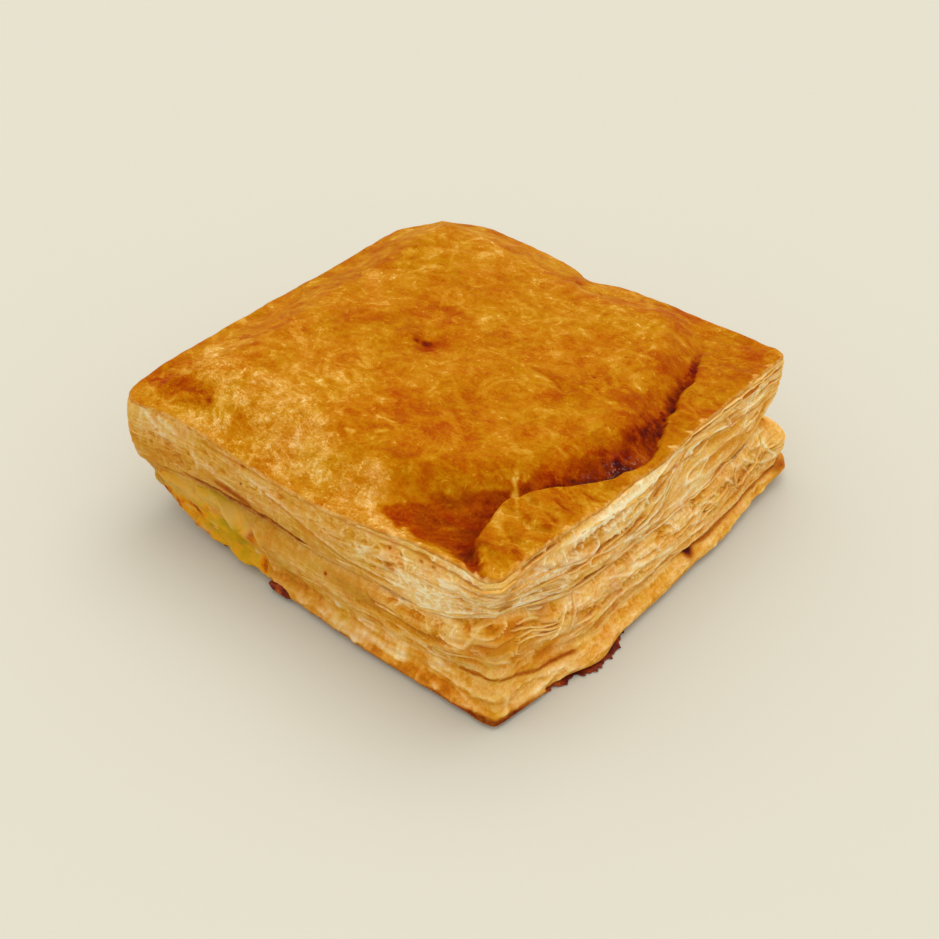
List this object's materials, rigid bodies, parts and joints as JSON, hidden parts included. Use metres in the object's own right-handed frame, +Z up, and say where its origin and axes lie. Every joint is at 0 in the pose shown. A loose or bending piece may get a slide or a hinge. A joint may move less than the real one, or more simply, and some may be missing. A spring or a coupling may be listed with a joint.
{
  "type": "ham and cheese pastry",
  "caption": "Square puff pastry of stacked browned sheets with sprung, flaky sides, a thin ham slice and melted cheese run down one side.",
  "frame": {"origin": "middle of the pastry's outline in plan, on the table it lies on", "axes": "+Z up through the layers, -Y towards the sealed side with the cheese, +X towards the sprung side"},
  "size_m": [0.1152, 0.112, 0.0412],
  "materials": {
    "browned_pastry": "egg-washed and baked, satin",
    "pale_pastry": "baked layers, dry and matt",
    "melted_cheese": "melted and set, oily sheen",
    "cooked_ham": "baked edge, moist",
    "burnt_filling": "burnt, hard, slightly shiny"
  },
  "bodies": {
    "root": {"upper_sheet": "browned_pastry", "lower_sheet": "pale_pastry", "cheese": "melted_cheese", "ham_slice": "cooked_ham", "burnt_skirt": "burnt_filling", "burnt_crumb": "burnt_filling"}
  },
  "joints": []
}
